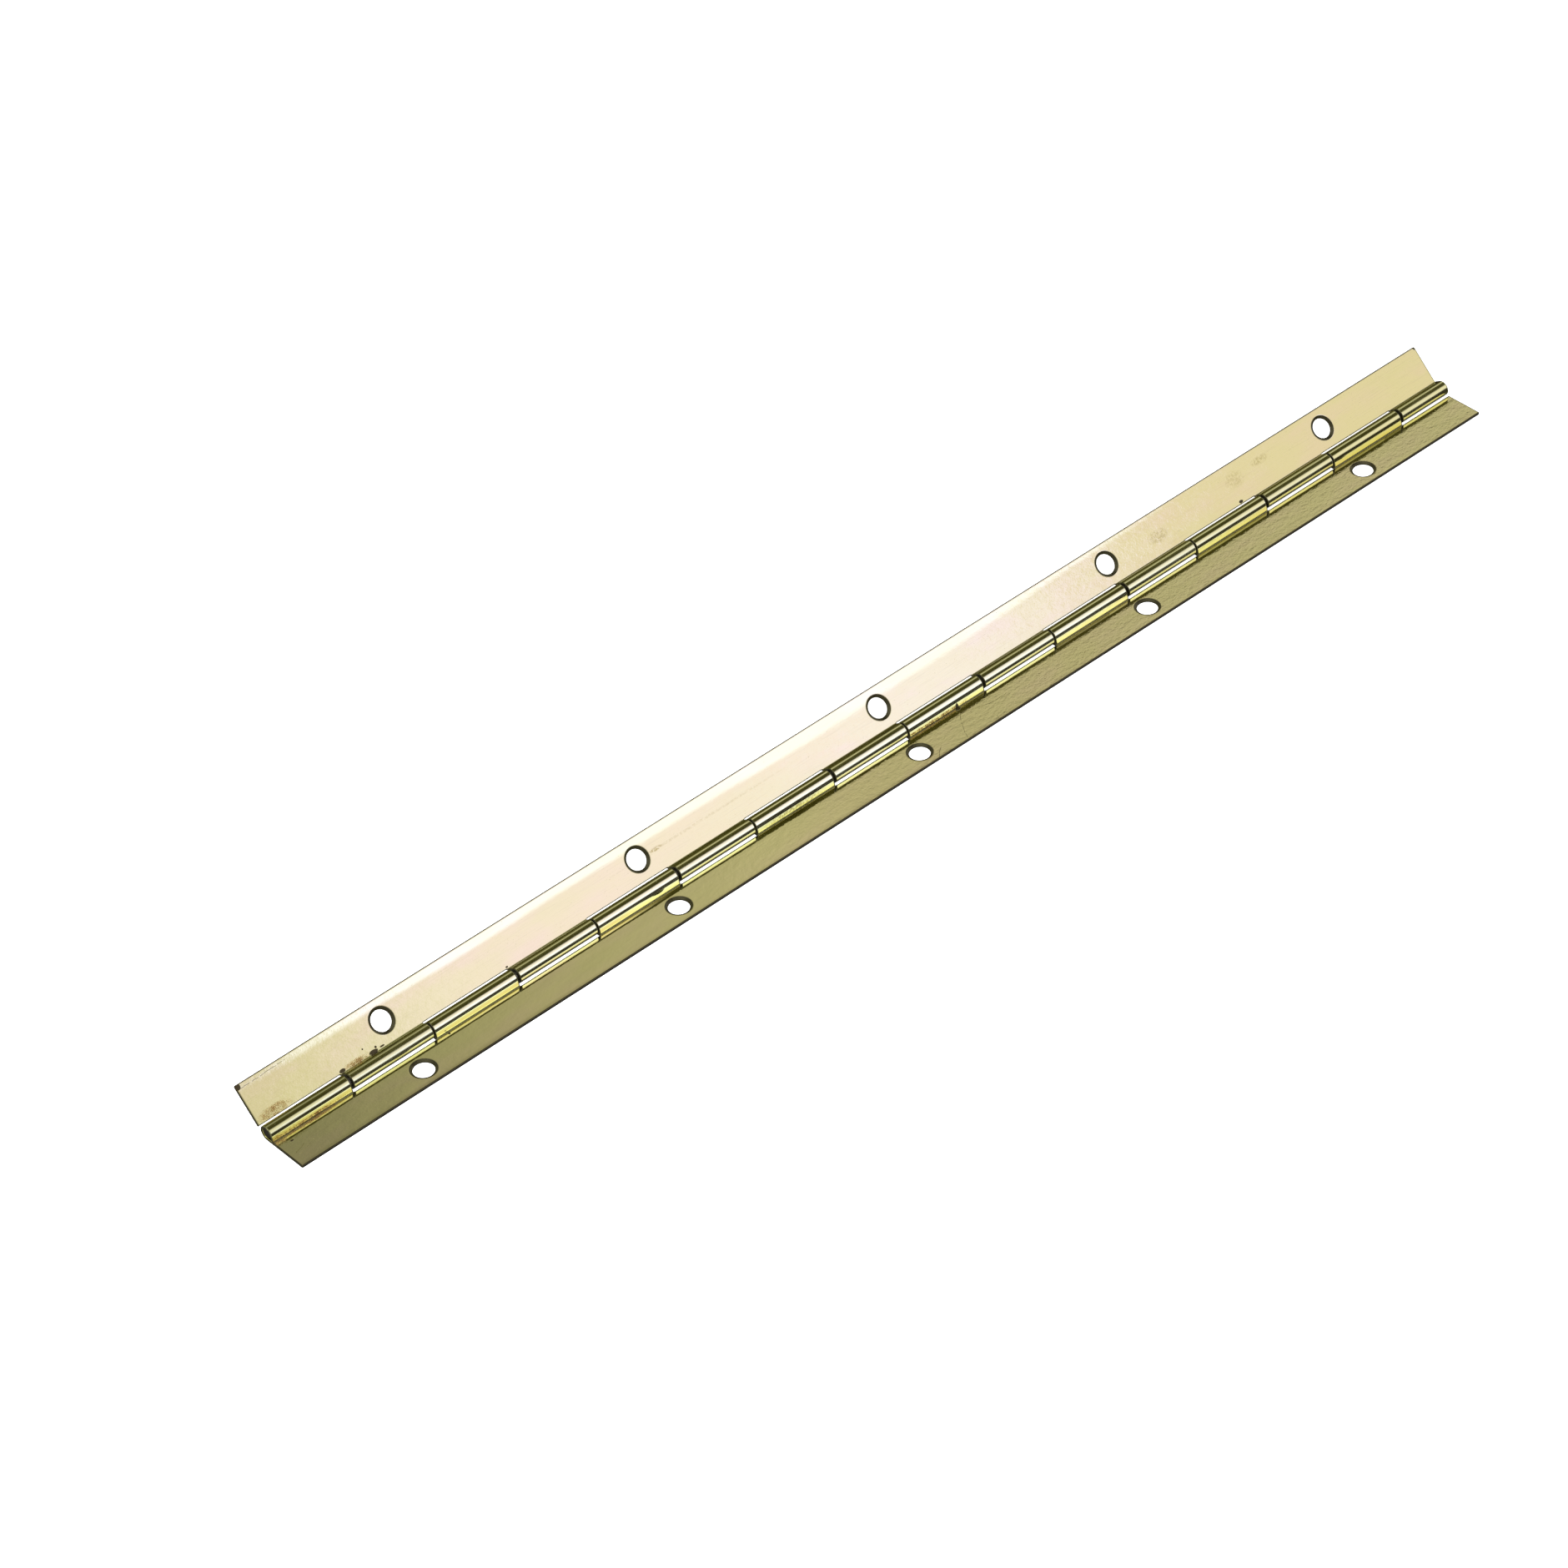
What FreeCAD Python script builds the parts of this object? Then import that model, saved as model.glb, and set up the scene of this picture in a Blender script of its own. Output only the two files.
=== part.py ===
import FreeCAD, Part
import math
import os

# A continuous (piano) hinge: two long strips of thin brass-plated sheet whose
# knuckles are rolled round one full-length pin.
#
# The origin is on the front leaf's mounting face, straight below the pin's axis
# and halfway along the hinge. +X runs along the pin, the front leaf lies flat
# towards -Y, the back leaf rises towards +Y, and +Z is up out of the front
# leaf's countersunk face. All sizes are in millimetres.

# Driving dimensions
LENGTH = 300.0           # whole hinge, along the pin
SHEET = 0.5              # sheet thickness
LEAF_WIDTH = 10.0        # pin axis to a leaf's outer edge
PIN_RADIUS = 1.0
RUNNING_GAP = 0.05       # radial play between the pin and a knuckle
OPENING = 135.0          # degrees between the leaves' countersunk faces at rest

FRONT_KNUCKLE = 19.3     # length of a front leaf knuckle along the pin
BACK_KNUCKLE = 18.3      # length of a back leaf knuckle
FIRST_KNUCKLE = 17.97    # the front leaf's end knuckle, trimmed when cut to length
WIDE_GAP = 0.53          # end play, all on one side of each back leaf knuckle
NARROW_GAP = 0.2         # what is left on its other side
NOTCH_REACH = 1.8        # pin axis to the bottom of a notch
NOTCH_CORNER = 0.45      # radius in a notch's two inner corners

HOLE_COUNT = 5           # screw holes in each leaf
HOLE_PITCH = 60.0
FIRST_HOLE = 30.5        # near end to the first hole's centre
HOLE_REACH = 6.0         # pin axis to the hole centres
HOLE_RADIUS = 2.05
SINK_RADIUS = 2.6        # countersink at the face
SINK_DEPTH = 0.3

SEAM = 0.05              # slot between a knuckle's rolled tip and its own leaf
TIP_LEAN = 12.0          # degrees that the straight end of the roll leans outwards
EDGE_ROUND = 0.2         # slit edge rolled over on the countersunk face
KNUCKLE_ROUND = 0.08     # broken edge round both ends of a knuckle
LEAF_CORNER = 0.3        # leaf corners seen from above
PIN_INSET = 0.15         # pin ends sit this far inside the knuckles
PIN_CHAMFER = 0.2
STAKE_LENGTH = 4.0       # stretch of pin swelled tight in the end knuckle

# Derived dimensions
BORE = PIN_RADIUS + RUNNING_GAP          # inside of a knuckle, and axis to inner face
BARREL = BORE + SHEET                    # outside of a knuckle, and axis to back face
NEAR_END = -LENGTH / 2
FAR_END = LENGTH / 2
OVERRUN = 1.0                            # how far a cutter passes the metal
SINK_OVERRUN = 0.1                       # and a countersink's, clear of the knuckles

X_AXIS = FreeCAD.Vector(1, 0, 0)
Z_AXIS = FreeCAD.Vector(0, 0, 1)
ON_AXIS = FreeCAD.Vector(0, 0, 0)


def knuckle_spans():
    """The stretches along X that the front and the back leaf's knuckles fill."""
    front = [(NEAR_END, NEAR_END + FIRST_KNUCKLE)]
    back = []
    while True:
        start = front[-1][1] + WIDE_GAP
        if start >= FAR_END:
            break
        back.append((start, min(start + BACK_KNUCKLE, FAR_END)))
        start = start + BACK_KNUCKLE + NARROW_GAP
        if start >= FAR_END:
            break
        front.append((start, min(start + FRONT_KNUCKLE, FAR_END)))
    return front, back


def on_circle(radius, degrees):
    """A point of the section, on a circle round the pin's axis."""
    angle = math.radians(degrees)
    return FreeCAD.Vector(NEAR_END, radius * math.cos(angle), radius * math.sin(angle))


def strip_section():
    """Section of a leaf and its full roll, with the leaf running towards +Y.

    The strip's back face is tangent to the barrel. It rolls up on the far side,
    over the top and down again. The last of it stays straight, leaning out over
    its own leaf, with its tip just short of the leaf's inner face.
    """
    lean = math.radians(TIP_LEAN)
    bottom = 270.0
    middle = (TIP_LEAN + bottom) / 2
    straight = (BORE * math.sin(lean) + BORE - SEAM) / math.cos(lean)
    to_tip = FreeCAD.Vector(0, math.sin(lean), -math.cos(lean)) * straight
    inside = [on_circle(BORE, a) for a in (bottom, middle, TIP_LEAN)]
    outside = [on_circle(BARREL, a) for a in (TIP_LEAN, middle, bottom)]
    tip_inner = inside[-1] + to_tip
    tip_outer = outside[0] + to_tip
    edge_back = FreeCAD.Vector(NEAR_END, LEAF_WIDTH, -BARREL)
    edge_inner = FreeCAD.Vector(NEAR_END, LEAF_WIDTH, -BORE)
    outline = [
        Part.makeLine(edge_back, edge_inner),
        Part.makeLine(edge_inner, inside[0]),
        Part.Arc(*inside).toShape(),
        Part.makeLine(inside[-1], tip_inner),
        Part.makeLine(tip_inner, tip_outer),
        Part.makeLine(tip_outer, outside[0]),
        Part.Arc(*outside).toShape(),
        Part.makeLine(outside[-1], edge_back),
    ]
    return Part.Face(Part.Wire(outline))


def notch_cutters(other_spans):
    """Blocks that clear one leaf round the other leaf's knuckles.

    Each notch takes two: one with rounded inner corners for the flat sheet, and
    a square one above the seam that cuts straight across the whole roll.
    """
    cutters = []
    back = -BARREL - OVERRUN
    depth = NOTCH_REACH - back
    for start, end, before, after in other_spans:
        low = start - (before if start > NEAR_END else OVERRUN)
        high = end + (after if end < FAR_END else OVERRUN)
        corner = FreeCAD.Vector(low, back, back)
        sheet_block = Part.makeBox(high - low, depth, -back, corner)
        inner = [
            e for e in sheet_block.Edges
            if abs(e.BoundBox.YMin - NOTCH_REACH) < 1e-6 and e.BoundBox.ZLength > BARREL
        ]
        cutters.append(sheet_block.makeFillet(NOTCH_CORNER, inner))
        seam_middle = -BORE + SEAM / 2
        corner = FreeCAD.Vector(low, back, seam_middle)
        cutters.append(Part.makeBox(high - low, depth, BARREL + OVERRUN - seam_middle, corner))
    return cutters


def screw_hole_cutters():
    """A through hole and its shallow countersink, at every hole position."""
    cutters = []
    slope = (SINK_RADIUS - HOLE_RADIUS) / SINK_DEPTH
    for i in range(HOLE_COUNT):
        x = NEAR_END + FIRST_HOLE + i * HOLE_PITCH
        below = FreeCAD.Vector(x, HOLE_REACH, -BARREL - OVERRUN)
        cutters.append(Part.makeCylinder(HOLE_RADIUS, SHEET + 2 * OVERRUN, below, Z_AXIS))
        sink_foot = FreeCAD.Vector(x, HOLE_REACH, -BORE - SINK_DEPTH)
        sink_height = SINK_DEPTH + SINK_OVERRUN
        mouth = HOLE_RADIUS + slope * sink_height
        cutters.append(Part.makeCone(HOLE_RADIUS, mouth, sink_height, sink_foot, Z_AXIS))
    return cutters


def leaf_corner_edges(leaf):
    """The two short edges, through the sheet, at the outer corners of a leaf."""
    return [
        e for e in leaf.Edges
        if e.BoundBox.YMin > LEAF_WIDTH - 1e-6 and e.BoundBox.ZLength > SHEET / 2
    ]


def outer_edge(leaf):
    """The long outer edge on a leaf's countersunk face."""
    return [
        e for e in leaf.Edges
        if e.BoundBox.YMin > LEAF_WIDTH - 1e-6
        and e.BoundBox.ZMin > -BORE - 1e-6
        and e.BoundBox.XLength > LENGTH / 2
    ]


def knuckle_end_edges(leaf):
    """The outer circular edges at both ends of every knuckle."""
    return [
        e for e in leaf.Edges
        if isinstance(e.Curve, Part.Circle)
        and abs(e.Curve.Radius - BARREL) < 1e-6
        and e.BoundBox.XLength < 1e-6
    ]


def make_leaf(other_spans):
    """One leaf, flat, with the pin's axis at Y = 0, Z = 0 and the leaf towards +Y."""
    blank = strip_section().extrude(FreeCAD.Vector(LENGTH, 0, 0))
    leaf = blank.cut(notch_cutters(other_spans) + screw_hole_cutters())
    leaf = leaf.removeSplitter()
    leaf = leaf.makeFillet(LEAF_CORNER, leaf_corner_edges(leaf))
    leaf = leaf.makeFillet(EDGE_ROUND, outer_edge(leaf))
    leaf = leaf.makeFillet(KNUCKLE_ROUND, knuckle_end_edges(leaf))
    return leaf.Solids[0]


def make_pin():
    """The pin on the axis, swelled to the bore inside the near end knuckle."""
    start = NEAR_END + PIN_INSET
    rod_length = LENGTH - 2 * PIN_INSET
    rod = Part.makeCylinder(PIN_RADIUS, rod_length, FreeCAD.Vector(start, 0, 0), X_AXIS)
    rod = rod.makeChamfer(PIN_CHAMFER, [e for e in rod.Edges if e.BoundBox.XLength < 1e-6])
    middle = NEAR_END + FIRST_KNUCKLE / 2
    stake_start = FreeCAD.Vector(middle - STAKE_LENGTH / 2, 0, 0)
    stake = Part.makeCylinder(BORE, STAKE_LENGTH, stake_start, X_AXIS)
    return rod.fuse(stake).removeSplitter().Solids[0]


front_spans, back_spans = knuckle_spans()
notches_for_front = [(a, b, WIDE_GAP, NARROW_GAP) for a, b in back_spans]
notches_for_back = [(a, b, NARROW_GAP, WIDE_GAP) for a, b in front_spans]

front_leaf = make_leaf(notches_for_front).mirror(ON_AXIS, FreeCAD.Vector(0, 1, 0))
back_leaf = make_leaf(notches_for_back)
back_leaf.rotate(ON_AXIS, X_AXIS, 180.0 - OPENING)
hinge_pin = make_pin()

os.makedirs("parts", exist_ok=True)
for node, shape in (("front_leaf", front_leaf), ("back_leaf", back_leaf), ("hinge_pin", hinge_pin)):
    shape.translate(FreeCAD.Vector(0, 0, BARREL))
    shape.exportStep("parts/" + node + ".step")
    print(node, "valid", shape.isValid(), "volume", round(shape.Volume, 2), "faces", len(shape.Faces))
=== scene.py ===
import math
from collections import namedtuple

import bpy
from mathutils import Matrix

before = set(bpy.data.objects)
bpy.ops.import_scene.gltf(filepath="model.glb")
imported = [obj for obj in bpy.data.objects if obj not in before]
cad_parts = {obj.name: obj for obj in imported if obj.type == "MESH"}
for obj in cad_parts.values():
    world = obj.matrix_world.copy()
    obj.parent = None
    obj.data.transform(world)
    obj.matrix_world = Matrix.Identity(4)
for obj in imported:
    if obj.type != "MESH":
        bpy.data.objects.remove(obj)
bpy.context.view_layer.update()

# A brass-plated continuous hinge lying on a white table. The CAD nodes keep their
# shapes; this script gives them their finish, and adds the light and the camera.
# Lengths inside the materials are in millimetres, in each leaf's own directions:
# "along" the pin, "across" from the pin's axis to the leaf's outer edge, and "out"
# of the countersunk face.

MM = 1000.0                 # millimetres in a metre

# The hinge
AXIS_HEIGHT = 1.55          # pin axis above the table
OPENING = 135.0             # degrees between the leaves' faces at rest
FACE = -1.05                # countersunk face, from the pin's axis
NOTCH = 1.8                 # pin axis to the bottom of a notch
LEAF_WIDTH = 10.0
HALF_LENGTH = 150.0
KNUCKLE_PAIR = 38.33        # from one leaf's knuckle to its next
KNUCKLE_GAPS = ((-131.765, 0.265), (-113.1, 0.1))   # middle and half width of the first two
HOLE_PITCH = 60.0
FIRST_HOLE = -119.5
HOLE_ACROSS = 6.0
SINK_RADIUS = 2.6

# Plate colours, and a deeper yellow painted on the rolls' lower sides as a reflection of the brass
# leaf
BRASS = (0.90, 0.87, 0.42)
ROSE_BRASS = (0.92, 0.85, 0.46)
GREEN_BRASS = (0.87, 0.88, 0.39)
ROLLED_BRASS = (0.97, 0.99, 0.49)
# painted reflection: the yellow that the rolls' lower sides mirror from the leaf
PAINTED_REFLECTION_YELLOW = (0.97, 0.89, 0.19)
STREAK_BRASS = (0.52, 0.47, 0.26)
STAINED_BRASS = (0.42, 0.36, 0.08)

# Wear colours, and the dark colours painted as shade on edges, ends, countersinks and creases
SHEARED_AND_SHADE = (0.060, 0.054, 0.030)
SHEARED_AND_SHADE_PALE = (0.17, 0.155, 0.085)
RUST = (0.15, 0.060, 0.014)
BLUSH = (0.90, 0.62, 0.20)
GRIME_AND_SHADE = (0.035, 0.026, 0.010)
SCRATCHED = (0.20, 0.18, 0.07)
PITTED = (0.10, 0.085, 0.04)

# Pin colours
STEEL = (0.23, 0.22, 0.20)
STEEL_PALE = (0.36, 0.34, 0.30)
# partly cut steel, partly painted shade: the dark end faces
CROPPED_AND_SHADED = (0.050, 0.047, 0.040)
CROPPED_AND_SHADED_PALE = (0.13, 0.12, 0.10)


class Graph:
    """A short way to write a node tree down."""

    def __init__(self, tree):
        self.tree = tree
        self.tree.nodes.clear()

    def node(self, kind, inputs=None, **settings):
        made = self.tree.nodes.new(kind)
        for name, value in settings.items():
            setattr(made, name, value)
        for name, value in (inputs or {}).items():
            self.put(made.inputs[name], value)
        return made

    def put(self, socket, value):
        if isinstance(value, bpy.types.NodeSocket):
            self.tree.links.new(value, socket)
        elif isinstance(value, tuple) and len(value) == 3 and socket.type == "RGBA":
            socket.default_value = (*value, 1.0)
        else:
            socket.default_value = value

    def math(self, operation, *values):
        made = self.node("ShaderNodeMath", operation=operation)
        for socket, value in zip(made.inputs, values):
            self.put(socket, value)
        return made.outputs[0]

    def chain(self, operation, values):
        result = values[0]
        for value in values[1:]:
            result = self.math(operation, result, value)
        return result

    def add(self, *values):
        return self.chain("ADD", values)

    def mul(self, *values):
        return self.chain("MULTIPLY", values)

    def most(self, *values):
        return self.chain("MAXIMUM", values)

    def least(self, *values):
        return self.chain("MINIMUM", values)

    def sub(self, a, b):
        return self.math("SUBTRACT", a, b)

    def distance(self, a, b=0.0):
        return self.math("ABSOLUTE", self.sub(a, b))

    def repeated(self, value, centre, pitch):
        """The signed distance to the nearest of evenly spaced places."""
        return self.math("WRAP", self.sub(value, centre), pitch / 2, -pitch / 2)

    def step(self, value, start, end):
        """0 before start and 1 after end, or the other way round if end is lower."""
        rises = start < end
        made = self.node("ShaderNodeMapRange", {
            "Value": value,
            "From Min": min(start, end), "From Max": max(start, end),
            "To Min": 0.0 if rises else 1.0, "To Max": 1.0 if rises else 0.0,
        }, interpolation_type="SMOOTHSTEP")
        return made.outputs["Result"]

    def vector(self, x, y, z):
        return self.node("ShaderNodeCombineXYZ", {"X": x, "Y": y, "Z": z}).outputs[0]

    def split(self, vector):
        return tuple(self.node("ShaderNodeSeparateXYZ", {"Vector": vector}).outputs)

    def noise(self, place, size, detail=2.0, roughness=0.5):
        """Noise from about 0 to 1 with features of that size."""
        made = self.node("ShaderNodeTexNoise", {
            "Vector": place, "Scale": 1.0 / size, "Detail": detail, "Roughness": roughness,
        })
        return made.outputs["Fac"]

    def ramp(self, value, stops):
        """stops are (position, colour); positions run from 0 to 1."""
        made = self.node("ShaderNodeValToRGB", {"Fac": value})
        points = made.color_ramp.elements
        while len(points) < len(stops):
            points.new(0.5)
        for point, (position, colour) in zip(points, stops):
            point.position = position
            point.color = (*colour, 1.0)
        return made.outputs["Color"]

    def mix(self, share, a, b):
        made = self.node("ShaderNodeMix", data_type="RGBA", clamp_factor=True)
        for socket, value in zip((made.inputs[0], made.inputs[6], made.inputs[7]), (share, a, b)):
            self.put(socket, value)
        return made.outputs[2]

    def blob(self, at, centre, radii):
        """1 in the middle of an ellipse on a leaf and 0 outside it."""
        u = self.math("DIVIDE", self.sub(at.along, centre[0]), radii[0])
        v = self.math("DIVIDE", self.sub(at.across, centre[1]), radii[1])
        return self.step(self.add(self.mul(u, u), self.mul(v, v)), 1.0, 0.0)

    def bump(self, height, **inputs):
        """A normal for a height in millimetres."""
        made = self.node("ShaderNodeBump", {
            "Strength": 1.0, "Distance": 1.0 / MM, "Height": height, **inputs,
        })
        return made.outputs["Normal"]

    def surface(self, settings):
        shader = self.node("ShaderNodeBsdfPrincipled", settings)
        target = self.node("ShaderNodeOutputMaterial")
        self.put(target.inputs["Surface"], shader.outputs[0])


def material(name):
    made = bpy.data.materials.new(name)
    made.use_nodes = True
    return made, Graph(made.node_tree)


# ---- Brass leaves -------------------------------------------------------------

# Where a point of a leaf is, how squarely its surface faces out of the leaf and
# along the pin, and whether it is on a knuckle's roll or on the flat sheet.
Place = namedtuple("Place", "along across out square end_on point on_roll on_sheet")


def leaf_place(g, turned):
    """turned is for the back leaf, which rises from the table at rest."""
    coordinates = g.node("ShaderNodeTexCoord")
    along, y, z = (g.mul(part, MM) for part in g.split(coordinates.outputs["Object"]))
    facing_x, facing_y, facing_z = g.split(coordinates.outputs["Normal"])
    up = g.sub(z, AXIS_HEIGHT)
    if turned:
        lift = math.radians(180.0 - OPENING)
        across = g.add(g.mul(y, math.cos(lift)), g.mul(up, math.sin(lift)))
        out_y, out_z = -math.sin(lift), math.cos(lift)
    else:
        across = g.mul(y, -1.0)
        out_y, out_z = 0.0, 1.0
    out = g.add(g.mul(y, out_y), g.mul(up, out_z))
    square = g.distance(g.add(g.mul(facing_y, out_y), g.mul(facing_z, out_z)))
    on_roll = g.most(g.step(out, FACE + 0.015, FACE + 0.035), g.step(across, 1.35, 1.15))
    return Place(along, across, out, square, g.distance(facing_x), g.vector(along, across, out),
                 on_roll, g.sub(1.0, on_roll))


def stretched_noise(g, at, along, across, size, detail, roughness=0.5):
    """Noise whose features are longer where along and across are below 1."""
    place = g.vector(g.mul(at.along, along), g.mul(at.across, across), at.out)
    return g.noise(place, size, detail, roughness)


def bare_metal_and_shade(g, at, rounded, edge_line_width):
    """Painted shade, partly real: the cut edges, hole walls and end faces, the countersinks, the
    rounded edges and creases, a line along the outer edges and ends, and the knuckles' ends beside
    the gaps are coloured dark; where the blank was cut the plate is also thin.
    """
    # partly uncoated steel, partly painted shade: the cut edges and hole walls, which don't face out
    # of the leaf, and the end faces
    sheared_and_shaded = g.mul(at.on_sheet, g.step(at.square, 0.75, 0.45))
    cut_end_and_shade = g.step(at.end_on, 0.55, 0.8)
    # painted shade in each countersink
    hole_along = g.repeated(at.along, FIRST_HOLE, HOLE_PITCH)
    hole_across = g.sub(at.across, HOLE_ACROSS)
    hole_reach = g.math("SQRT", g.add(g.mul(hole_along, hole_along), g.mul(hole_across, hole_across)))
    countersink_shade = g.step(hole_reach, SINK_RADIUS + 0.04, SINK_RADIUS - 0.04)

    # painted shade where the rounded normal turns away: along the edges and in the creases
    flat = g.node("ShaderNodeNewGeometry").outputs["Normal"]
    turn = g.node("ShaderNodeVectorMath", {0: rounded, 1: flat}, operation="DOT_PRODUCT")
    edge_shade = g.step(turn.outputs["Value"], 0.992, 0.965)

    # a painted dark line along the outer edge and the ends, for the shade on the rounded edge
    from_end = g.sub(HALF_LENGTH, g.distance(at.along))
    from_edge = g.least(g.sub(LEAF_WIDTH, at.across), from_end)
    edge_line_shade = g.mul(at.on_sheet, g.step(from_edge, edge_line_width, edge_line_width * 0.6))

    # painted shade on the knuckles' ends beside the gaps between them
    from_gaps = [
        g.sub(g.distance(g.repeated(at.along, middle, KNUCKLE_PAIR)), half_gap)
        for middle, half_gap in KNUCKLE_GAPS
    ]
    knuckle_end_shade = g.mul(at.on_roll, g.step(g.least(*from_gaps), 0.24, 0.12))
    return g.most(sheared_and_shaded, cut_end_and_shade, countersink_shade, edge_shade, edge_line_shade, knuckle_end_shade)


def plate_colour(g, at, drift, look):
    """The tone of the plate where it isn't worn, with a painted reflection: a deeper yellow on the
    lower side of each roll.
    """
    tone = stretched_noise(g, at, 0.35, 1.0, 5.0, 3.0, 0.55)
    streak = stretched_noise(g, at, 0.03, 1.0, 0.22, 2.0, 0.6)
    colour = g.mix(g.step(tone, 0.42, 0.70), BRASS, ROSE_BRASS)
    colour = g.mix(g.mul(g.step(drift, 0.48, 0.68), 0.7), colour, GREEN_BRASS)
    colour = g.mix(at.on_roll, colour, ROLLED_BRASS)
    # painted reflection: the lower side of each roll is coloured a deeper yellow, for the brass leaf
    # it mirrors
    painted_reflection = g.mul(at.on_roll, g.step(at.out, 0.10, -0.60), look["painted_reflection_share"])
    colour = g.mix(painted_reflection, colour, PAINTED_REFLECTION_YELLOW)
    colour = g.mix(g.mul(g.step(streak, 0.50, 0.78), 0.10), colour, STREAK_BRASS)
    for centre, radii, strength in look["stains"]:
        mottle = g.step(g.noise(at.point, 0.55, 3.0, 0.7), 0.38, 0.62)
        stain = g.mul(g.blob(at, centre, radii), mottle, strength)
        colour = g.mix(stain, colour, STAINED_BRASS)
    return colour


def pit_marks(g, at):
    """Specks, spread thinly everywhere."""
    speck = g.step(g.noise(at.point, 0.16, 2.0, 0.6), 0.715, 0.765)
    return g.mul(speck, g.step(g.noise(at.point, 1.9, 1.0), 0.50, 0.62))


def rust_marks(g, at, marks):
    """Spots of rust, and the warm blush on the plate round them."""
    zone = g.most(*(g.blob(at, centre, radii) for centre, radii in marks))
    zone = g.mul(zone, g.step(at.out, -0.10, -0.45))
    grain = g.noise(at.point, 0.15, 3.0, 0.8)
    patch = g.noise(at.point, 1.3, 4.0, 0.7)
    level = g.add(g.mul(zone, 0.14), g.mul(g.sub(patch, 0.5), 0.45))
    rust = g.mul(g.step(g.add(grain, level), 0.62, 0.70), g.step(zone, 0.0, 0.3))
    blush = g.mul(g.step(zone, 0.05, 0.8), g.step(patch, 0.28, 0.66), 0.55)
    return rust, blush


def grime_and_shade_marks(g, at, marks):
    """Grime and painted shade in the crease between the knuckles and the notch edges, and in a few
    clots.
    """
    # painted shade, partly grime: the crease where the roll meets the sheet is coloured dark
    crease_grime_and_shade = g.mul(g.step(at.across, 1.35, 1.6), g.step(at.across, NOTCH + 0.10, NOTCH - 0.04))
    grime_and_shade = g.mul(crease_grime_and_shade, g.step(at.out, -0.80, -0.92), 0.8)
    ragged = g.noise(g.vector(g.mul(at.along, 0.6), at.across, 0.0), 0.75, 4.0, 0.7)
    for centre, radii in marks:
        edge = g.add(g.blob(at, centre, radii), g.mul(g.sub(ragged, 0.5), 0.9))
        grime_and_shade = g.most(grime_and_shade, g.step(edge, 0.30, 0.48))
    return grime_and_shade


def scratch_marks(g, at, scratches):
    """Thin bowed lines on the face, each from start to end."""
    marked = 0.0
    for start, end, bow, width in scratches:
        length = math.dist(start, end)
        unit = ((end[0] - start[0]) / length, (end[1] - start[1]) / length)
        u, v = g.sub(at.along, start[0]), g.sub(at.across, start[1])
        run = g.add(g.mul(u, unit[0] / length), g.mul(v, unit[1] / length))
        off = g.sub(g.mul(v, unit[0]), g.mul(u, unit[1]))
        bend = g.mul(run, g.sub(1.0, run), 4.0 * bow)
        waver = g.mul(g.sub(g.noise(at.point, 1.2, 2.0), 0.5), 0.35)
        line = g.step(g.distance(g.add(g.sub(off, bend), waver)), width, width * 0.3)
        inside = g.mul(g.step(run, 0.0, 0.06), g.step(run, 1.0, 0.94))
        broken = g.step(g.noise(at.point, 0.8, 1.0), 0.30, 0.45)
        marked = g.most(marked, g.mul(line, inside, broken))
    on_face = g.mul(at.on_sheet, g.step(g.distance(at.out, FACE), 0.06, 0.02))
    return g.mul(marked, on_face)


def sheet_relief(g, at, drift, look):
    """The ripple that rolling left in the sheet, and its edge bent away."""
    ripple = stretched_noise(g, at, 0.55, 1.0, 0.85, 2.0, 0.55)
    swell = stretched_noise(g, at, 0.35, 1.0, 3.2, 1.0)
    peel = g.noise(at.point, 0.38, 2.0, 0.6)
    far_share = g.mul(g.step(at.along, -70.0, 40.0), g.step(at.across, 2.8, 3.8))
    ripple_height = g.mul(ripple, at.on_sheet, g.add(0.006, g.mul(far_share, look["far_ripple"])))
    peel_height = g.mul(peel, at.on_sheet, g.add(0.002, g.mul(far_share, look["far_peel"])))

    crown = look["crown"]
    start = g.add(crown["start"], g.mul(g.distance(at.along, -20.0), crown["spread"]))
    start = g.add(start, g.mul(g.most(g.sub(at.along, 20.0), 0.0), 0.020))
    start = g.add(start, g.mul(g.sub(drift, 0.5), 1.6))
    past = g.most(g.sub(at.across, start), 0.0)
    bent = g.least(past, crown["bend"])
    crown_height = g.mul(bent, g.sub(past, g.mul(bent, 0.5)), crown["rate"])
    return g.add(ripple_height, peel_height, g.mul(swell, 0.016), crown_height)


def roll_relief(g, at, look):
    """How the knuckles' rolls are out of round, and the rings round them."""
    rings = g.noise(g.vector(at.along, g.mul(at.across, 0.15), g.mul(at.out, 0.15)), 0.10, 2.0, 0.7)
    ring_height = g.mul(rings, at.on_roll, 0.0008 + 0.004 * look["matt"])

    around = g.mul(g.math("ARCTAN2", at.out, at.across), 180.0 / math.pi)
    flat_from, flat_to = look["flat"]
    flat_height = g.mul(at.on_roll, g.step(around, flat_from, flat_to), 0.070)

    pair_number = g.math("FLOOR", g.math("DIVIDE", g.add(at.along, 22.0), KNUCKLE_PAIR))
    drawn = g.node("ShaderNodeTexWhiteNoise", {"W": pair_number}, noise_dimensions="1D")
    near_tuck = g.mul(g.step(at.along, -50.0, -75.0), 0.20)
    far_tuck = g.mul(g.step(at.along, 10.0, 30.0), 0.09)
    own_tuck = g.sub(g.mul(drawn.outputs["Value"], 0.04), 0.06)
    tuck = g.add(near_tuck, far_tuck, own_tuck)
    low = g.least(g.most(g.sub(0.25, at.out), 0.0), 0.80)
    tuck_height = g.mul(at.on_roll, g.step(at.across, 1.30, 1.45), low, g.mul(tuck, -1.0))
    return g.add(ring_height, flat_height, tuck_height)


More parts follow.
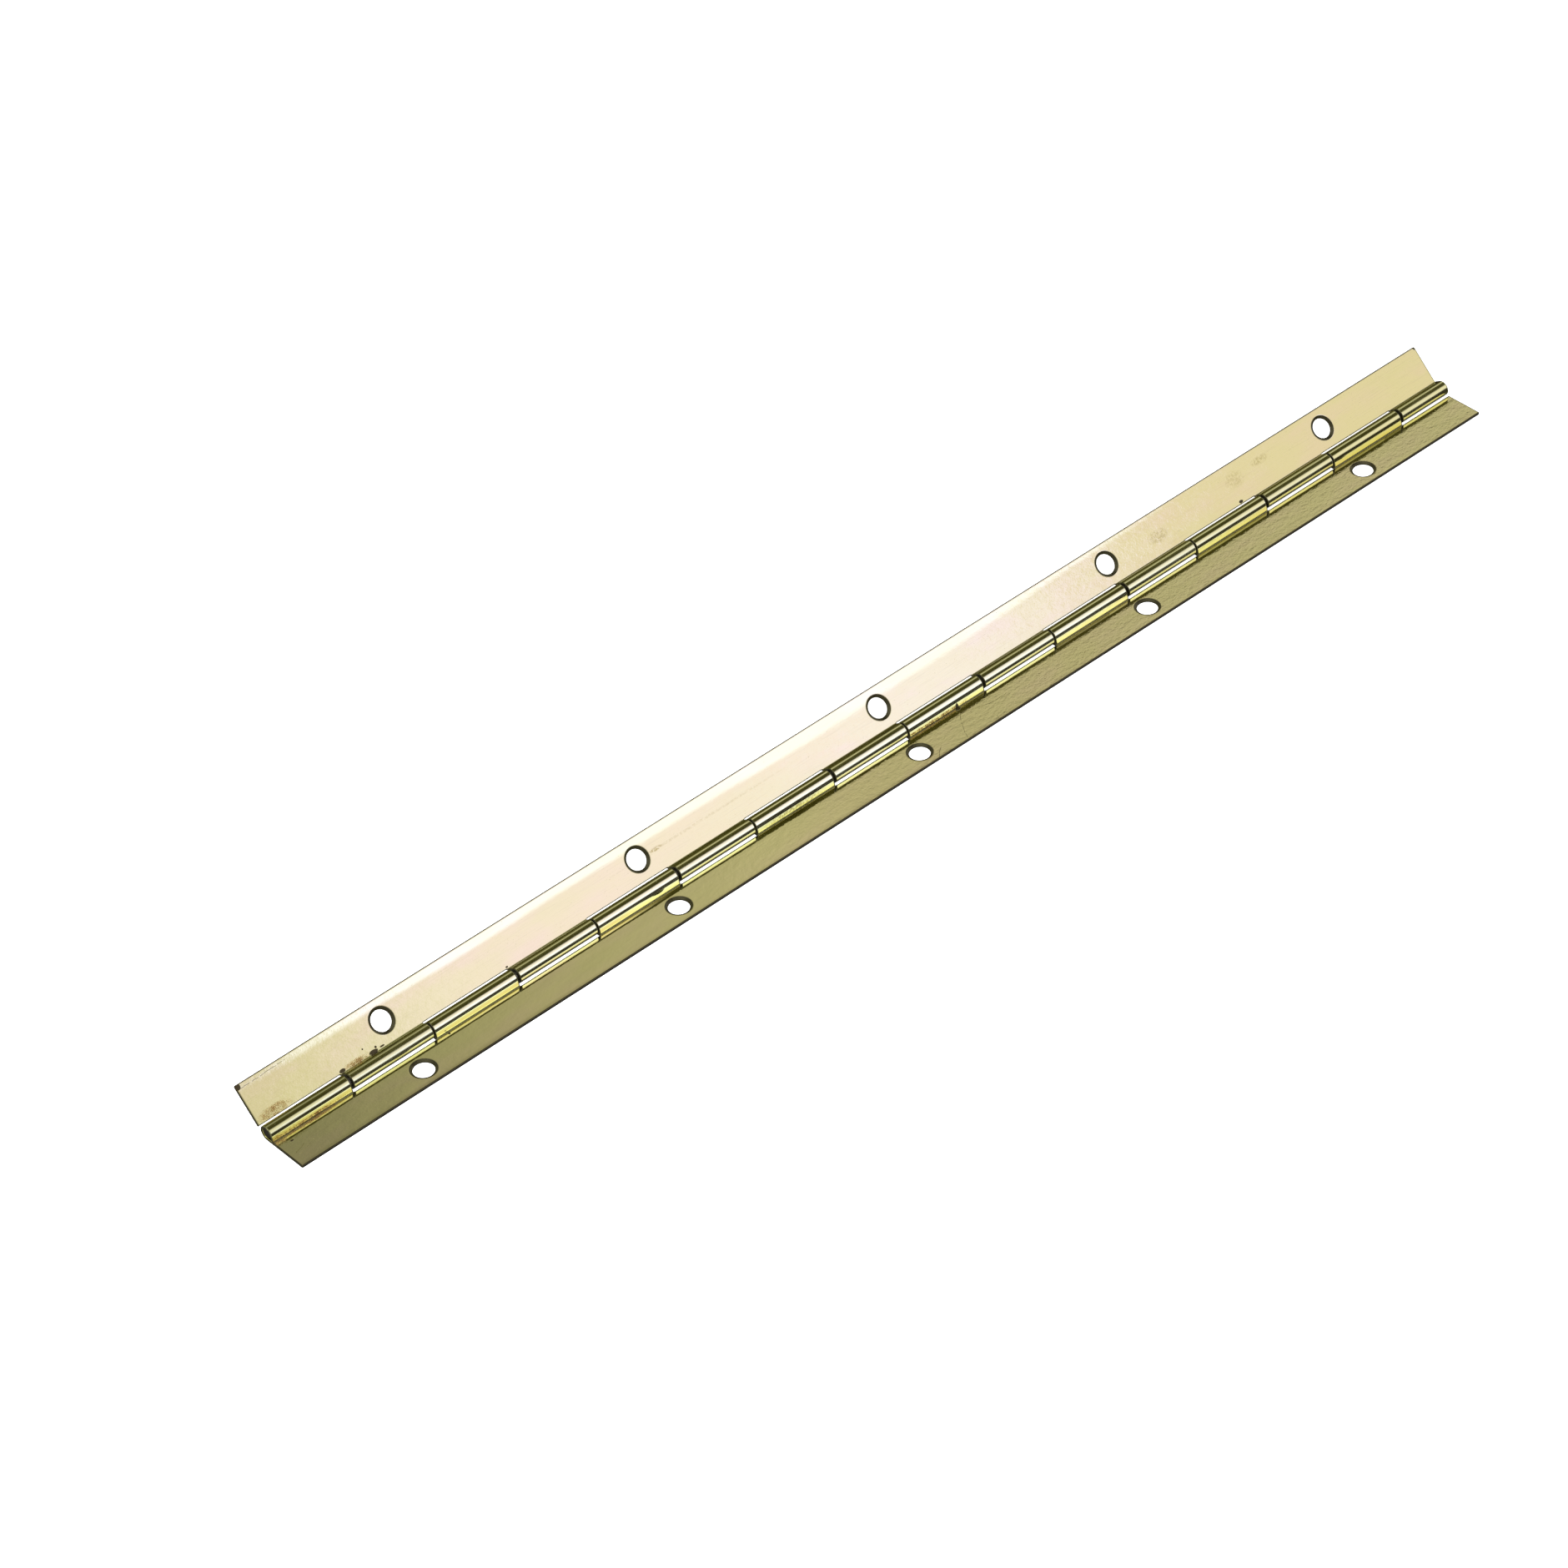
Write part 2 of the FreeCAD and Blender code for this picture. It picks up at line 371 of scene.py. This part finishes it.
def plate_roughness(g, at, bare_and_shade, dirt_and_shade, matt):
    """Smooth where it is untouched, rougher on the knuckles, on the darkened edges and ends, and
    wherever it is worn.
    """
    smear = stretched_noise(g, at, 0.5, 1.0, 3.0, 4.0, 0.6)
    dull_stretch = g.step(g.noise(g.vector(g.mul(at.along, 0.02), 0.0, 0.0), 1.0), 0.3, 0.7)
    return g.add(
        0.035,
        g.mul(g.step(smear, 0.35, 0.75), 0.05),
        g.mul(at.on_roll, 0.03 + matt),
        g.mul(at.on_roll, dull_stretch, matt),
        g.mul(bare_and_shade, 0.30),
        g.mul(dirt_and_shade, 0.40),
    )


def brass_leaf(name, look, turned):
    """Bright brass plate for one leaf, with the marks that its look lists."""
    made, g = material(name)
    at = leaf_place(g, turned)
    rounded = g.node("ShaderNodeBevel", {"Radius": 0.32 / MM}, samples=8).outputs[0]
    drift = stretched_noise(g, at, 0.12, 0.5, 6.0, 1.0)
    grain = g.noise(at.point, 0.12, 3.0, 0.7)

    bare_and_shade = bare_metal_and_shade(g, at, rounded, look["edge_line_width"])
    pits = pit_marks(g, at)
    rust, blush = rust_marks(g, at, look["rust"])
    grime_and_shade = grime_and_shade_marks(g, at, look["grime_and_shade"])
    scratches = scratch_marks(g, at, look["scratches"])

    colour = plate_colour(g, at, drift, look)
    colour = g.mix(blush, colour, BLUSH)
    colour = g.mix(g.mul(scratches, 0.55), colour, SCRATCHED)
    colour = g.mix(g.mul(pits, 0.9), colour, PITTED)
    colour = g.mix(rust, colour, RUST)
    # painted shade on the edges, ends, countersinks, creases and knuckle ends, partly uncoated steel
    # on the cut edges
    bare_and_shade_colour = g.mix(g.step(grain, 0.46, 0.70), SHEARED_AND_SHADE, SHEARED_AND_SHADE_PALE)
    colour = g.mix(g.mul(bare_and_shade, 0.95), colour, bare_and_shade_colour)
    # grime, and painted shade in the crease beside each knuckle
    colour = g.mix(grime_and_shade, colour, GRIME_AND_SHADE)

    height = g.add(sheet_relief(g, at, drift, look), roll_relief(g, at, look))
    height = g.sub(height, g.mul(g.most(pits, scratches), 0.010))
    height = g.add(height, g.mul(g.most(rust, grime_and_shade), grain, 0.03), g.mul(bare_and_shade, grain, 0.02))

    dirt_and_shade = g.most(pits, rust, grime_and_shade)
    g.surface({
        "Base Color": colour,
        "Metallic": g.sub(1.0, g.mul(dirt_and_shade, 0.45)),
        "Roughness": plate_roughness(g, at, bare_and_shade, dirt_and_shade, look["matt"]),
        "Coat Weight": 0.12, "Coat Roughness": 0.03, "Coat IOR": 1.45,
        "Normal": g.bump(height, Normal=rounded),
    })
    return made


# Each leaf's own look. crown bends the sheet away past start, by rate, until it has
# bent for that many millimetres, and spread moves its start out towards the ends.
# matt is how grainy the knuckles are, and flat the angles round the roll between
# which it is out of round. Marks are (centre, radii), stains also have a strength,
# and scratches are (start, end, bow, width).
FRONT_LOOK = {
    "edge_line_width": 0.30,
    "crown": {"rate": 0.05, "start": 9.0, "spread": 0.0, "bend": 0.8},
    "matt": 0.0,
    "flat": (24.0, 2.0),
    "far_ripple": 0.040,
    "far_peel": 0.026,
    "painted_reflection_share": 0.55,
    "rust": [
        ((-142.0, 1.95), (10.0, 0.75)),
        ((-149.0, 2.3), (2.2, 1.0)),
        ((8.0, 1.75), (11.0, 0.5)),
    ],
    "grime_and_shade": [
        ((14.2, 2.0), (0.8, 0.55)),
        ((-147.2, 3.6), (0.5, 0.3)),
        ((-110.5, 2.2), (0.3, 0.4)),
    ],
    "stains": [
        ((-146.0, 3.0), (5.0, 0.8), 0.5),
        ((-27.0, 1.7), (9.0, 0.5), 0.8),
    ],
    "scratches": [
        ((13.5, 3.2), (9.5, 9.7), 0.3, 0.07),
        ((14.5, 3.4), (24.0, 5.2), 0.7, 0.05),
        ((4.5, 7.6), (2.0, 9.8), 0.1, 0.09),
        ((18.0, 8.3), (17.4, 9.9), 0.0, 0.06),
        ((-149.0, 6.6), (-146.0, 5.6), 0.1, 0.05),
        ((-148.6, 7.4), (-145.2, 6.3), 0.0, 0.04),
    ],
}
BACK_LOOK = {
    "edge_line_width": 0.17,
    "crown": {"rate": 0.065, "start": 6.6, "spread": 0.009, "bend": 1.9},
    "matt": 0.035,
    "flat": (111.0, 133.0),
    "far_ripple": 0.004,
    "far_peel": 0.002,
    "painted_reflection_share": 0.20,
    "rust": [
        ((-145.8, 2.7), (4.6, 1.35)),
        ((-127.5, 2.2), (4.0, 0.7)),
    ],
    "grime_and_shade": [
        ((-149.6, 9.6), (0.8, 0.9)),
        ((-131.0, 2.15), (0.9, 0.45)),
        ((-124.0, 2.05), (1.3, 0.5)),
        ((-123.2, 2.6), (0.3, 0.3)),
        ((-122.0, 2.15), (0.7, 0.2)),
        ((-125.6, 3.5), (0.2, 0.2)),
        ((-93.2, 2.15), (0.35, 0.2)),
        ((94.8, 2.3), (0.7, 0.4)),
    ],
    "stains": [
        ((-55.2, 5.85), (1.8, 0.5), 0.9),
        ((74.0, 5.2), (3.2, 1.6), 0.5),
        ((103.5, 7.3), (2.8, 1.0), 0.5),
        ((96.0, 6.6), (3.0, 2.0), 0.35),
        ((-45.0, 5.8), (26.0, 0.35), 0.22),
    ],
    "scratches": [
        ((-149.6, 9.0), (-139.0, 9.25), 0.0, 0.06),
    ],
}


# ---- Steel pin ----------------------------------------------------------------

def pin_steel(name):
    """Drawn wire, dull on its cut ends, which are coloured near black: partly the cut steel, partly
    painted shade on the barrel's end face.
    """
    made, g = material(name)
    coordinates = g.node("ShaderNodeTexCoord")
    x, y, z = (g.mul(part, MM) for part in g.split(coordinates.outputs["Object"]))
    facing_x = g.split(coordinates.outputs["Normal"])[0]
    end_on = g.step(g.distance(facing_x), 0.4, 0.8)
    drawn = g.noise(g.vector(g.mul(x, 0.02), y, z), 0.09, 3.0, 0.6)
    grain = g.noise(g.vector(x, y, z), 0.14, 4.0, 0.7)
    colour = g.mix(g.step(drawn, 0.40, 0.65), STEEL, STEEL_PALE)
    # the cut ends: dull steel, and painted shade for the barrel's dark end face
    cropped_and_shaded = g.mix(g.step(grain, 0.4, 0.65), CROPPED_AND_SHADED, CROPPED_AND_SHADED_PALE)
    g.surface({
        "Base Color": g.mix(end_on, colour, cropped_and_shaded),
        "Metallic": 1.0,
        "Roughness": g.add(0.22, g.mul(end_on, 0.28), g.mul(grain, 0.12)),
        "Normal": g.bump(g.add(g.mul(drawn, 0.003), g.mul(grain, end_on, 0.03))),
    })
    return made


finishes = {
    "front_leaf": brass_leaf("front_leaf_brass_plate", FRONT_LOOK, turned=False),
    "back_leaf": brass_leaf("back_leaf_brass_plate", BACK_LOOK, turned=True),
    "hinge_pin": pin_steel("pin_drawn_steel"),
}
for node, finish in finishes.items():
    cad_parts[node].data.materials[0] = finish


# ---- Table --------------------------------------------------------------------

TABLE_HALF = 6.0            # metres
TABLE_DROP = 0.00004        # metres that its top lies below the hinge


def table_top():
    made, g = material("table_white")
    cloud = g.noise(g.node("ShaderNodeTexCoord").outputs["Object"], 0.4, 2.0)
    g.surface({
        "Base Color": g.mix(cloud, (0.90, 0.90, 0.90), (0.92, 0.92, 0.92)),
        "Roughness": 0.9, "Specular IOR Level": 0.0,
    })
    corners = [
        (TABLE_HALF * x, TABLE_HALF * y, -TABLE_DROP)
        for x, y in ((-1, -1), (1, -1), (1, 1), (-1, 1))
    ]
    mesh = bpy.data.meshes.new("table")
    mesh.from_pydata(corners, [], [(0, 1, 2, 3)])
    mesh.materials.append(made)
    top = bpy.data.objects.new("table", mesh)
    bpy.context.scene.collection.objects.link(top)
    top.visible_glossy = False


table_top()


# ---- Camera -------------------------------------------------------------------

CAMERA_PLACE = (-0.519075, -0.605877, 0.659766)
CAMERA_AZIMUTH = 39.0383
CAMERA_ELEVATION = 39.9459
CAMERA_ROLL = -4.7831


def photo_camera():
    data = bpy.data.cameras.new("camera")
    data.sensor_width = 36.0
    data.lens = 126.83
    data.clip_start = 0.01
    data.clip_end = 50.0
    camera = bpy.data.objects.new("camera", data)
    bpy.context.scene.collection.objects.link(camera)
    turn = Matrix.Rotation(math.radians(-CAMERA_AZIMUTH), 4, "Z")
    tilt = Matrix.Rotation(math.radians(90.0 - CAMERA_ELEVATION), 4, "X")
    roll = Matrix.Rotation(math.radians(CAMERA_ROLL), 4, "Z")
    camera.matrix_world = Matrix.Translation(CAMERA_PLACE) @ turn @ tilt @ roll
    bpy.context.scene.camera = camera


photo_camera()


# ---- Light --------------------------------------------------------------------

# The soft boxes' colours by side, which is 0 straight across the pin and 1 in line
# with its far end.
FRONT_BOX_COLOURS = [
    (0.00, (0.30, 0.29, 0.26)), (0.30, (0.50, 0.47, 0.46)), (0.385, (0.75, 0.70, 0.72)),
    (0.42, (1.02, 0.91, 1.38)), (0.469, (1.06, 0.93, 1.48)), (0.512, (1.07, 1.01, 1.72)),
    (0.533, (1.03, 0.95, 1.54)), (0.553, (0.86, 0.77, 0.87)), (0.60, (0.83, 0.75, 0.78)),
    (0.75, (0.45, 0.43, 0.42)), (1.00, (0.30, 0.29, 0.28)),
]
FRONT_BOX_CORE = (1.22, 1.24, 2.15)
BACK_BOX_COLOURS = [
    (0.00, (0.24, 0.23, 0.19)), (0.385, (0.260, 0.250, 0.210)), (0.42, (0.435, 0.405, 0.345)),
    (0.469, (0.560, 0.515, 0.460)), (0.483, (0.660, 0.590, 0.560)), (0.512, (0.490, 0.455, 0.400)),
    (0.535, (0.520, 0.480, 0.425)), (0.560, (0.620, 0.585, 0.545)), (0.575, (0.590, 0.550, 0.500)),
    (1.00, (0.48, 0.46, 0.42)),
]

# Everything else by the angle about the pin's line, from 0 at -180 degrees to 1 at
# 180: dark gaps for the photo's view to mirror, and a pale room for the others.
GAP_COLOURS = [
    (0.000, (0.018, 0.015, 0.007)), (0.060, (0.022, 0.019, 0.010)), (0.160, (0.07, 0.066, 0.05)),
    (0.340, (0.12, 0.115, 0.10)), (0.450, (0.020, 0.017, 0.008)), (0.530, (0.028, 0.023, 0.009)),
    (0.590, (0.070, 0.060, 0.034)), (0.680, (0.075, 0.067, 0.034)), (0.740, (0.046, 0.040, 0.014)),
    (0.800, (0.046, 0.040, 0.016)), (0.940, (0.040, 0.035, 0.016)), (0.960, (0.024, 0.020, 0.009)),
    (1.000, (0.018, 0.015, 0.007)),
]
ROOM_COLOURS = [
    (0.00, (0.35, 0.34, 0.31)), (0.12, (0.26, 0.25, 0.22)), (0.25, (0.20, 0.19, 0.17)),
    (0.38, (0.26, 0.25, 0.22)), (0.50, (0.40, 0.39, 0.36)), (0.62, (0.30, 0.29, 0.27)),
    (0.75, (0.85, 0.83, 0.80)), (0.88, (0.30, 0.29, 0.27)), (1.00, (0.35, 0.34, 0.31)),
]


def studio_surroundings():
    """Soft boxes and dark gaps round the table, for the brass to mirror.

    The angle about the pin's line is 0 at the back horizon, 90 overhead and 180 at
    the front horizon.
    """
    world = bpy.data.worlds.new("studio")
    world.use_nodes = True
    bpy.context.scene.world = world
    g = Graph(world.node_tree)
    side, y, z = g.split(g.node("ShaderNodeTexCoord").outputs["Generated"])
    angle = g.mul(g.math("ARCTAN2", z, y), 180.0 / math.pi)
    turn = g.math("DIVIDE", g.add(angle, 180.0), 360.0)

    seen = g.mul(g.step(side, 0.20, 0.32), g.step(side, 0.76, 0.64))
    front_box = g.mul(g.step(angle, 106.0, 128.0), g.step(angle, 174.0, 155.0))
    core = g.mul(g.step(angle, 141.0, 149.0), g.step(side, 0.37, 0.41), g.step(side, 0.58, 0.53))
    back_box = g.mul(g.step(angle, 30.0, 53.0), g.step(angle, 66.0, 55.0))
    light = g.mix(seen, g.ramp(turn, ROOM_COLOURS), g.ramp(turn, GAP_COLOURS))
    light = g.mix(front_box, light, g.ramp(side, FRONT_BOX_COLOURS))
    light = g.mix(g.mul(core, front_box), light, FRONT_BOX_CORE)
    light = g.mix(back_box, light, g.ramp(side, BACK_BOX_COLOURS))
    background = g.node("ShaderNodeBackground", {"Color": light, "Strength": 1.0})
    target = g.node("ShaderNodeOutputWorld")
    g.put(target.inputs["Surface"], background.outputs[0])


def table_lamps():
    """Two lamps that light the table but aren't mirrored.

    One is at the camera, so it leaves no shadow in its view, and one is broad, soft
    and overhead.
    """
    near_data = bpy.data.lights.new("table_lamp", "POINT")
    near_data.energy = 78.0
    near_data.shadow_soft_size = 0.030
    near = bpy.data.objects.new("table_lamp", near_data)
    near.location = CAMERA_PLACE
    over_data = bpy.data.lights.new("overhead_lamp", "SUN")
    over_data.energy = 2.2
    over_data.angle = math.radians(70.0)
    over = bpy.data.objects.new("overhead_lamp", over_data)
    for lamp in (near, over):
        bpy.context.scene.collection.objects.link(lamp)
        lamp.visible_glossy = False


studio_surroundings()
table_lamps()
bpy.context.scene.view_settings.view_transform = "Standard"
bpy.context.scene.view_settings.look = "None"
